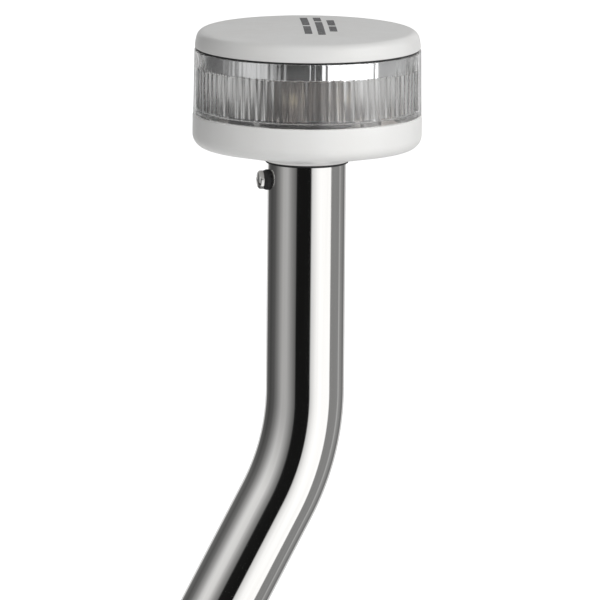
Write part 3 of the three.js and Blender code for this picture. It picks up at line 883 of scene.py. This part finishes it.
def base_cup():
    """Cup with a shallow cone underneath, a hub, and the spigot that goes into the pole."""
    angle = 10.8
    slope = math.radians(angle)
    hub_r, hub_z, cone_z, corner_r = 10.7, 0.5, 0.95, 3.5
    lead_r, spigot_r, spigot_foot = 3, 8.5, -17
    cone_end = CUP_R - corner_r + corner_r * math.sin(slope)
    corner_z = cone_z + (cone_end - hub_r) * math.tan(slope) + corner_r * math.cos(slope)
    outline = [(lead_r, spigot_foot), (spigot_r - 0.3, spigot_foot), (spigot_r, spigot_foot + 0.5)]
    outline += [(spigot_r, hub_z), (hub_r, hub_z, 0.12), (hub_r, cone_z)]
    outline += [(hub_r + reach, cone_z + reach * math.tan(slope)) for reach in (0.3, 4, 10)]
    outline += arc(CUP_R - corner_r, corner_z, corner_r, angle - 90, 0, 16)
    outline += arc(CUP_R - 0.35, CUP_RIM_Z - 0.35, 0.35, 0, 90, 5)
    outline += [(CUP_BORE_R, CUP_RIM_Z, 0.2), (CUP_BORE_R, 8.9), (25.2, 8.9, 0.3), (25.2, 7, 0.4)]
    outline += [(23, 6, 0.6), (lead_r, 4, 0.4)]
    shape = Shape().revolve(rounded(outline))
    for side in (-1, 1):
        boss = rounded([(1.1, 4), (2.8, 4), (2.5, 8.2, 0.3), (1.1, 8.2, 0.1)])
        shape.revolve(boss, 48, at=Matrix.Translation((0, side * BOARD_SCREW_Y, 0)))
    made = shape.piece("base_shell", HEAD)
    use(made, "pole", ["base_cup"], WHITE)


# ------------------------------------------------------------------ light: electronics


def led_tower():
    """Square post with an LED on a strip of board on each flat."""
    tower = HEAD @ Matrix.Rotation(POST_TURN, 4, "Z")
    half = POST_WIDTH / 2
    groove, depth, chamfer = 2.7, 0.35, 1
    quarter = [(half, -groove), (half - depth, -groove), (half - depth, groove), (half, groove)]
    quarter += [(half, half - chamfer), (half - chamfer, half)]
    outline = []
    for i in range(4):
        turn = Matrix.Rotation(i * math.pi / 2, 2)
        outline += [tuple(turn @ Vector(p)) for p in quarter]
    post = Shape().prism(outline, BOARD_TOP, POST_TOP_Z).piece("led_post_extrusion", tower)
    use(post, "pole", ["led_post"], DARK)
    strip_x = half + GAP + 0.5
    strip_low, strip_high = BOARD_TOP + 0.3, POST_TOP_Z - 4
    for i in range(4):
        flat = tower @ Matrix.Rotation(i * math.pi / 2, 4, "Z")
        strip = Shape().box((1, 5, strip_high - strip_low), (strip_x, 0, (strip_low + strip_high) / 2), 0.12)
        for side in (-1, 1):
            for z in (strip_low + 1.2, strip_high - 1):
                strip.box((0.16, 1.0, 1.3), (strip_x + 0.5, side * 1.5, z), 0.05)
        use(strip.piece(f"led_strip_{i + 1}", flat), "pole", [f"led_board_{i + 1}"], STRIP)
        led_x = strip_x + 1 + GAP
        led = Shape().box((0.8, 3.6, 2.8), (led_x - 0.1, 0, LED_Z), 0.12)
        use(led.piece(f"led_package_{i + 1}", flat), "pole", [], CERAMIC)
        dome = rounded([(0, 0), (1.25, 0), (1.25, 0.25, 0.1), (0.8, 0.5, 0.3), (0, 0.55)])
        out = Matrix.Translation((led_x + 0.28, 0, LED_Z)) @ Matrix.Rotation(math.pi / 2, 4, "Y")
        lit = Shape().revolve(dome, 48, at=out).piece(f"led_phosphor_{i + 1}", flat)
        use(lit, "pole", [f"led_{i + 1}"], PHOSPHOR)


def post_holder():
    """Black collar round the post's foot, with the strips of board standing in its slots."""
    z = BOARD_TOP
    bore, foot_r, rim_r = 6, 12.2, 13.8
    outline = [(bore, z), (foot_r, z, 0.2), (foot_r, z + 1)]
    outline += [(rim_r, z + 1, 0.2), (rim_r, z + 3, 0.4), (bore, z + 3)]
    tower = HEAD @ Matrix.Rotation(POST_TURN, 4, "Z")
    holder = Shape().revolve(rounded(outline), ROUND).piece("post_collar", tower)
    post, slot, pocket, past_rim = POST_WIDTH + 0.4, 5.6, POST_WIDTH + 2.8, 30
    openings = [(post, post, 0), (pocket, slot, 0), (slot, pocket, 0)]
    openings += [(past_rim, slot, 7), (slot, past_rim, 7)]
    for length, across, raised in openings:
        tool = Shape().box((length, across, 12), (0, 0, z + raised), 0.1).piece("opening", tower)
        cut(holder, tool)
    use(holder, "pole", ["led_post_holder"], BLACK)


def driver_parts():
    """Coil, capacitor and chip on the driver board."""
    z = BOARD_TOP
    winding = [(3.0 + 0.14 * math.cos(k * math.pi), z + 0.55 + k * 0.21) for k in range(10)]
    drum = [(0, z), (3.2, z), (3.4, z + 0.2), (3.4, z + 0.45), *winding]
    drum += [(3.4, z + 2.55), (3.4, z + 2.8), (3.2, z + 3), (1.2, z + 3), (1.0, z + 2.7), (0, z + 2.7)]
    coil = Shape().revolve(drum, 64, at=Matrix.Translation((*COIL_AT, 0)))
    use(coil.piece("wound_coil", HEAD, 20), "pole", ["driver_coil"], BLACK)
    can = rounded(
        [
            (0, z),
            (2.6, z, 0.2),
            (2.6, z + 0.7, 0.1),
            (2.4, z + 0.9, 0.1),
            (2.6, z + 1.1, 0.1),
            (2.6, z + 3.6, 0.35),
            (2.0, z + 3.6, 0.1),
            (1.9, z + 3.45, 0.1),
            (0, z + 3.45),
        ],
        3,
    )
    capacitor = Shape().revolve(can, 64, at=Matrix.Translation((*CAPACITOR_AT, 0)))
    use(capacitor.piece("capacitor_can", HEAD), "pole", ["driver_capacitor"], ALUMINIUM)
    x, y = CHIP_AT
    chip = Shape().box((4.2, 5, 1.2), (x, y, z + 0.9), 0.12)
    for side in (-1, 1):
        for k in range(4):
            leg_y = y - 1.8 + 1.2 * k
            chip.box((0.9, 0.4, 0.25), (x + side * 2.5, leg_y, z + 0.2), 0.06)
            chip.box((0.25, 0.4, 0.7), (x + side * 2.15, leg_y, z + 0.5), 0.06)
    use(chip.piece("driver_ic", HEAD), "pole", ["driver_chip"], BLACK)


def slotted_screw(name, place, shank_r, shank, head_r, head, slot, sides=72):
    """Pan head with a slot, seated at height 0."""
    outline = [(0, -shank), (shank_r * 0.6, -shank), (shank_r, shank_r * 0.4 - shank), (shank_r, 0)]
    outline += [(head_r, 0, 0.12), (head_r, head * 0.62, 0.4), (head_r * 0.8, head * 0.9, 0.5)]
    outline += [(head_r * 0.45, head * 0.985), (0, head)]
    screw = Shape().revolve(rounded(outline), sides).piece(name, place)
    tool = Shape().box((3 * head_r, slot, head), (0, 0, head * 1.02), 0.04).piece("slot", place)
    return cut(screw, tool)


def board_screws():
    for i, side in enumerate((-1, 1)):
        place = HEAD @ Matrix.Translation(Vector((0, side * BOARD_SCREW_Y, BOARD_TOP)) * MM)
        screw = slotted_screw(f"board_pan_screw_{i + 1}", place, 1, 3, 2, 1.3, 0.5, 48)
        use(screw, "pole", [f"board_screw_{i + 1}"], STEEL)


# ------------------------------------------------------------------ light: fixing to the pole


def set_screw():
    """Screw through the tube's wall, and its washer, shaped to the tube."""
    outward = HEAD @ Matrix.Translation((0, 0, SET_SCREW_Z * MM)) @ Matrix.Rotation(-math.pi / 2, 4, "Y")
    seat = outward @ Matrix.Translation((0, 0, SET_SCREW_SEAT * MM))
    seat = seat @ Matrix.Rotation(SET_SCREW_TURN, 4, "Z")
    screw = slotted_screw("set_screw_pan_head", seat, 1.15, 5.2, 2.4, 1.55, 0.6)
    use(screw, "pole", ["set_screw"], STEEL)
    face = SET_SCREW_SEAT - 0.05
    outline = rounded([(1.6, 9.0), (2.65, 9.0), (2.65, face - 0.8, 0.3), (2.35, face, 0.2), (1.6, face, 0.1)])
    washer = Shape().revolve(outline, 64).piece("screw_washer", outward)
    tube_r = POLE_R + 0.02
    tube = Shape().revolve([(0, -20), (tube_r, -20), (tube_r, 12), (0, 12)]).piece("tube", HEAD)
    use(cut(washer, tube), "pole", ["set_screw_washer"], RUBBER)


def pole_gasket():
    inner, outer, z0, z1 = 8.9, 10.6, 0.03, 0.47
    outline = rounded([(inner, z0, 0.1), (outer, z0, 0.15), (outer, z1, 0.15), (inner, z1, 0.1)])
    gasket = Shape().revolve(outline, ROUND).piece("pole_gasket_ring", HEAD)
    use(gasket, "pole", ["pole_gasket"], RUBBER)


# ------------------------------------------------------------------ pole


def pole_stations(bend_steps=28):
    """(point, tangent, distance) along the pole's centre line, from its foot to its top, in millimetres."""
    lean_dir = Vector((math.sin(LEAN), 0, math.cos(LEAN)))
    start = lean_dir * LEANING_LENGTH
    stations = [(lean_dir * (POLE_FOOT + (LEANING_LENGTH - POLE_FOOT) * k / 12), lean_dir) for k in range(12)]
    for k in range(bend_steps + 1):
        left = LEAN * (1 - k / bend_steps)
        offset = Vector((math.cos(left) - math.cos(LEAN), 0, math.sin(LEAN) - math.sin(left))) * BEND_R
        stations.append((start + offset, Vector((math.sin(left), 0, math.cos(left)))))
    end = stations[-1][0]
    stations += [(end + Vector((0, 0, UPRIGHT_LENGTH * k / 4)), Vector((0, 0, 1))) for k in range(1, 5)]
    distance, before, route = 0.0, stations[0][0], []
    for point, tangent in stations:
        distance += (point - before).length
        route.append((point, tangent, distance))
        before = point
    return route


def pole_tube():
    """Bent tube, with each vertex's place on the straight tube kept for the polish marks to follow."""
    route = pole_stations()
    mesh = bmesh.new()
    straight = mesh.verts.layers.float_vector.new("route")
    rings = []
    edge = 0.15
    for radius, sign in ((POLE_R, 1), (POLE_BORE_R, -1)):
        ends = [(0, radius - sign * edge, 0.0), (0, radius, edge)]
        ends += [(i, radius, 0.0) for i in range(1, len(route) - 1)]
        ends += [(len(route) - 1, radius, -edge), (len(route) - 1, radius - sign * edge, 0.0)]
        wall = []
        for i, r, shift in ends:
            point, tangent, distance = route[i]
            side = Vector((tangent.z, 0, -tangent.x))
            ring = []
            for k in range(ROUND):
                angle = 2 * math.pi * k / ROUND
                x, y = r * math.cos(angle), r * math.sin(angle)
                centre = point + tangent * shift
                vertex = mesh.verts.new((centre + side * x + Vector((0, y, 0))) * MM)
                vertex[straight] = Vector((x, y, distance + shift)) * MM
                ring.append(vertex)
            wall.append(ring)
        rings += wall if sign > 0 else wall[::-1]
    for a, b in zip(rings, rings[1:] + rings[:1]):
        for k in range(ROUND):
            n = (k + 1) % ROUND
            mesh.faces.new([a[k], a[n], b[n], b[k]])
    bmesh.ops.recalc_face_normals(mesh, faces=mesh.faces)
    data = bpy.data.meshes.new("polished_pole")
    mesh.to_mesh(data)
    mesh.free()
    smooth(data, 30)
    made = add_object("polished_pole", data)
    use(made, "pole", ["pole_tube"], TUBE)


# ------------------------------------------------------------------ deck socket


def cut_screw_holes(target, outline):
    """Cuts the three deck screws' holes, each with the given outline."""
    holes = Shape()
    for i in range(3):
        turn = Matrix.Rotation(2 * math.pi * (i + 0.5) / 3, 4, "Z")
        holes.revolve(outline, 48, at=turn @ Matrix.Translation((SCREW_CIRCLE_R, 0, 0)))
    cut(target, holes.piece("holes", BASE))


def deck_gasket():
    inner, outer = BARREL_R + 0.4, width("deck_gasket") / 2
    outline = rounded([(inner, 0, 0.2), (outer, 0, 0.35), (outer, 1.5, 0.35), (inner, 1.5, 0.2)])
    gasket = Shape().revolve(outline).piece("deck_seal", BASE)
    hole_r = SCREW_HOLE_R + 0.2
    cut_screw_holes(gasket, [(0, -1), (hole_r, -1), (hole_r, 3), (0, 3)])
    use(gasket, "base", ["deck_gasket"], RUBBER)


def socket_flange():
    """Flange with countersunk screw holes, and a neck with a real thread."""
    bore = BARREL_R + 0.2
    thread_low, thread_high = FLANGE_TOP + 1.4, NECK_TOP - 0.9
    steps = int((thread_high - thread_low) / THREAD_PITCH * 8)

    def thread(r, z, angle):
        if abs(r - NECK_R) > 1e-6 or not thread_low <= z <= thread_high:
            return r
        phase = (z / THREAD_PITCH - angle / (2 * math.pi)) % 1
        fade = min(1, (z - thread_low) / THREAD_PITCH, (thread_high - z) / THREAD_PITCH)
        return NECK_R - THREAD_DEPTH * fade * (0.5 + 0.5 * math.cos(2 * math.pi * phase))

    outline = [(bore, FLANGE_Z, 0.2), (FLANGE_R, FLANGE_Z, 0.3), (FLANGE_R, FLANGE_Z + 1.3, 0.8)]
    outline += [(FLANGE_R - 3, FLANGE_TOP, 1.2), (NECK_R + 0.6, FLANGE_TOP)]
    outline += arc(NECK_R + 0.6, FLANGE_TOP + 0.6, 0.6, -90, -180, 4)
    outline += [(NECK_R, thread_low + (thread_high - thread_low) * k / steps) for k in range(steps + 1)]
    outline += [
        (NECK_R - 0.8, NECK_TOP),
        (13.6, NECK_TOP),
        (10.7, 17.5),
        (10.7, BARREL_TOP + 0.2),
        (bore, BARREL_TOP + 0.2),
    ]
    flange = Shape().revolve(rounded(outline), 144, thread).piece("deck_flange", BASE)
    sink = [(0, -1), (SCREW_HOLE_R, -1), (SCREW_HOLE_R, FLANGE_TOP - 2.5), (4.7, FLANGE_TOP - 0.1)]
    sink += [(4.9, FLANGE_TOP + 0.1), (4.9, FLANGE_TOP + 1), (0, FLANGE_TOP + 1)]
    cut_screw_holes(flange, sink)
    use(flange, "base", ["socket_flange"], STEEL)


def socket_barrel():
    """Moulded barrel with grip rings and a rounded foot."""
    rings, pitch, groove_r = 5, 3, BARREL_R - 0.6
    outline = [(BARREL_BORE_R, BARREL_TOP), (BARREL_BORE_R, BARREL_FOOT + 0.4)]
    outline += [(BARREL_BORE_R + 0.4, BARREL_FOOT)]
    outline += arc(BARREL_R - 1.2, BARREL_FOOT + 1.2, 1.2, -90, 0, 6)
    for k in range(rings):
        z = BARREL_FOOT + 8 + pitch * k
        outline += [(BARREL_R, z), (groove_r, z + 0.4), (groove_r, z + 1.2), (BARREL_R, z + 1.6)]
    outline += [(BARREL_R, 0), (BARREL_R, BARREL_TOP - 0.4), (BARREL_R - 0.4, BARREL_TOP)]
    barrel = Shape().revolve(outline, ROUND).piece("barrel_moulding", BASE)
    use(barrel, "base", ["socket_barrel"], BLACK)


def clamp_nut():
    """Hand nut with rounded flutes that run out at its shoulder."""
    thread_r, mouth_r = NECK_R + 0.35, POLE_R + 0.6
    shoulder = 25.3
    flute_foot, flute_depth = NUT_FOOT + 1.6, 1.15

    def flutes(r, z, angle):
        if r < NUT_R - 3 or z < flute_foot:
            return r
        start = min(1, (z - flute_foot) / 1.4)
        wave = max(0.0, math.cos(angle * NUT_FLUTES) - 0.15) / 0.85
        return r - flute_depth * math.sin(start * math.pi / 2) * wave**0.8

    outline = [(thread_r, NUT_FOOT, 0.3), (NUT_R, NUT_FOOT, 0.7)]
    outline += [(NUT_R, flute_foot + 0.2 * k) for k in range(8)]
    outline += [(NUT_R, NUT_TOP - 2.6, 1.5), (NUT_R - 2.6, NUT_TOP, 1.2), (mouth_r, NUT_TOP, 0.6)]
    outline += [(mouth_r, shoulder), (thread_r, shoulder)]
    nut = Shape().revolve(rounded(outline), NUT_FLUTES * 16, flutes).piece("fluted_nut", BASE, 40)
    use(nut, "clamp_nut", ["clamp_nut"], NYLON)


# ------------------------------------------------------------------ CAD nodes that stay

KEPT = {
    "lens_seal": SILICONE,
    "driver_board": BOARD,
    "pole_lead": BLACK,
    "plug_body": BLACK,
    "plug_seal": RUBBER,
    "plug_cross_pin": STEEL,
    "plug_pin_1": BRASS,
    "plug_pin_2": BRASS,
    "contact_carrier": NYLON,
    "socket_contact_1": BRASS,
    "socket_contact_2": BRASS,
    "clamp_collet": BLACK,
    "slip_ring": BRASS,
}


def dress_cad_nodes():
    """Gives the CAD nodes that stay their materials."""
    for node, material in KEPT.items():
        data = frame["nodes"][node].data
        data.materials.clear()
        data.materials.append(material)


bpy.context.scene.view_settings.view_transform = "Standard"
add_camera()
add_studio()
add_key_light()
add_floor()
crown = top_cover()
print_bars(crown)
cover_gasket()
lens()
reflector()
base_cup()
led_tower()
post_holder()
driver_parts()
board_screws()
set_screw()
pole_gasket()
pole_tube()
deck_gasket()
socket_flange()
socket_barrel()
clamp_nut()
dress_cad_nodes()
